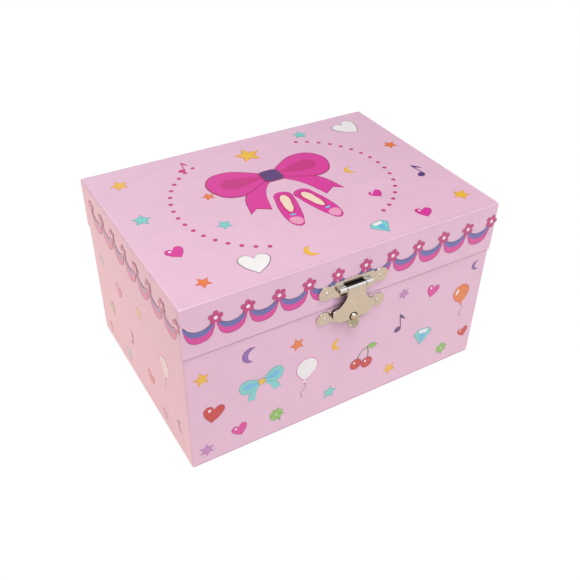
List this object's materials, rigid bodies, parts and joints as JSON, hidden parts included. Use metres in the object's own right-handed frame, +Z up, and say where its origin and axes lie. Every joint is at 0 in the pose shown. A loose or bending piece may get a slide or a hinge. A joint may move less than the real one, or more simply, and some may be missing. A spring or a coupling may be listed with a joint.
{
  "type": "musical jewellery box",
  "caption": "Paper-wrapped hinged jewellery box with a front latch, mirror, ring cushion and key-wound music movement that turns a dancer who rises as the lid opens.",
  "frame": {"origin": "on the table, under the middle of the case", "axes": "+X along the width to the right of someone facing the latch, +Y from the latch to the hinges, +Z up"},
  "size_m": [0.155, 0.1225, 0.088],
  "materials": {
    "printed_paper": "satin printed paper",
    "board": "raw fibre board",
    "felt_sheet": "felt",
    "velvet": "short pile velvet",
    "mirror_glass": "polished",
    "mirror_trim": "pearl",
    "nickel": "nickel plate",
    "brass": "satin",
    "steel": "ground",
    "bed_metal": "zinc cast",
    "block_wood": "raw",
    "figure_plastic": "painted",
    "tulle": "stiff net"
  },
  "bodies": {
    "case": {"case_front": "board", "case_back": "board", "case_left": "board", "case_right": "board", "case_floor": "board", "base_sheet": "felt_sheet", "case_wrap": "printed_paper", "case_lining": "velvet", "case_nails": "nickel", "left_hinge_case_leaf": "nickel", "right_hinge_case_leaf": "nickel", "left_hinge_pin": "nickel", "right_hinge_pin": "nickel", "catch_plate": "nickel", "stage_front": "velvet", "stage_left": "velvet", "stage_right": "velvet", "stage_deck": "velvet", "divider": "velvet", "ring_base": "velvet", "ring_rolls": "velvet", "movement_block": "block_wood", "bedplate": "bed_metal", "movement_screws": "steel", "comb": "steel", "comb_screws": "steel", "movement_bracket": "steel", "spindle_bush": "brass"},
    "lid": {"lid_front": "board", "lid_back": "board", "lid_left": "board", "lid_right": "board", "lid_panel": "board", "lid_wrap": "printed_paper", "lid_lining": "velvet", "mirror": "mirror_glass", "mirror_frame": "mirror_trim", "lid_nails": "nickel", "left_hinge_lid_leaf": "nickel", "right_hinge_lid_leaf": "nickel", "latch_plate": "nickel", "latch_pin": "nickel"},
    "hasp": {"latch_hasp": "nickel"},
    "winder": {"winding_key": "nickel", "winding_arbor": "steel"},
    "barrel": {"spring_barrel": "brass", "mainspring": "steel"},
    "cylinder": {"music_cylinder": "brass", "cylinder_arbor": "steel", "cylinder_wheel": "brass"},
    "fan": {"governor": "brass"},
    "turntable": {"spindle": "steel"},
    "dancer_bend": {"dancer_spring": "steel"},
    "figure": {"dancer": "figure_plastic", "tutu": "tulle"},
    "stop": {"stop_wire": "steel"}
  },
  "joints": [
    {"name": "lid_hinge", "type": "hinge", "parent": "case", "child": "lid", "pos_m": [0, 0.0568, 0.06335], "axis": [-1, 0, 0], "range_deg": [0, 100]},
    {"name": "hasp_swing", "type": "hinge", "parent": "lid", "child": "hasp", "pos_m": [0, -0.0568, 0.072], "axis": [-1, 0, 0], "range_deg": [0, 150]},
    {"name": "key_turn", "type": "hinge", "parent": "case", "child": "winder", "pos_m": [0, 0.06, 0.022], "axis": [0, 1, 0], "continuous": true},
    {"name": "barrel_turn", "type": "hinge", "parent": "case", "child": "barrel", "pos_m": [0, 0.04, 0.022], "axis": [0, 1, 0], "continuous": true},
    {"name": "cylinder_turn", "type": "hinge", "parent": "case", "child": "cylinder", "pos_m": [0.02, 0.031, 0.022], "axis": [1, 0, 0], "continuous": true},
    {"name": "fan_turn", "type": "hinge", "parent": "case", "child": "fan", "pos_m": [0.02, 0.021, 0.022], "axis": [1, 0, 0], "continuous": true},
    {"name": "turntable_turn", "type": "hinge", "parent": "case", "child": "turntable", "pos_m": [0, 0.031, 0.038], "axis": [0, 0, 1], "continuous": true},
    {"name": "dancer_rise", "type": "hinge", "parent": "case", "child": "dancer_bend", "pos_m": [0, 0.031, 0.04518], "axis": [-1, 0, 0], "range_deg": [0, 48], "deforming": ["dancer_spring"]},
    {"name": "dancer_turn", "type": "hinge", "parent": "dancer_bend", "child": "figure", "pos_m": [0, 0.031, 0.04518], "axis": [0, -0.7431, 0.6691], "continuous": true},
    {"name": "stop_rise", "type": "slide", "parent": "case", "child": "stop", "axis": [0, 0, 1], "range_m": [0, 0.004]}
  ],
  "couplings": [
    {"joint": "cylinder_turn", "follows": "barrel_turn", "ratio": -3},
    {"joint": "fan_turn", "follows": "barrel_turn", "ratio": 9},
    {"joint": "turntable_turn", "follows": "barrel_turn", "ratio": -3},
    {"joint": "dancer_turn", "follows": "barrel_turn", "ratio": -3},
    {"joint": "dancer_rise", "follows": "lid_hinge", "ratio": 0.4799},
    {"joint": "stop_rise", "follows": "lid_hinge", "m_per_rad": 0.00229}
  ]
}
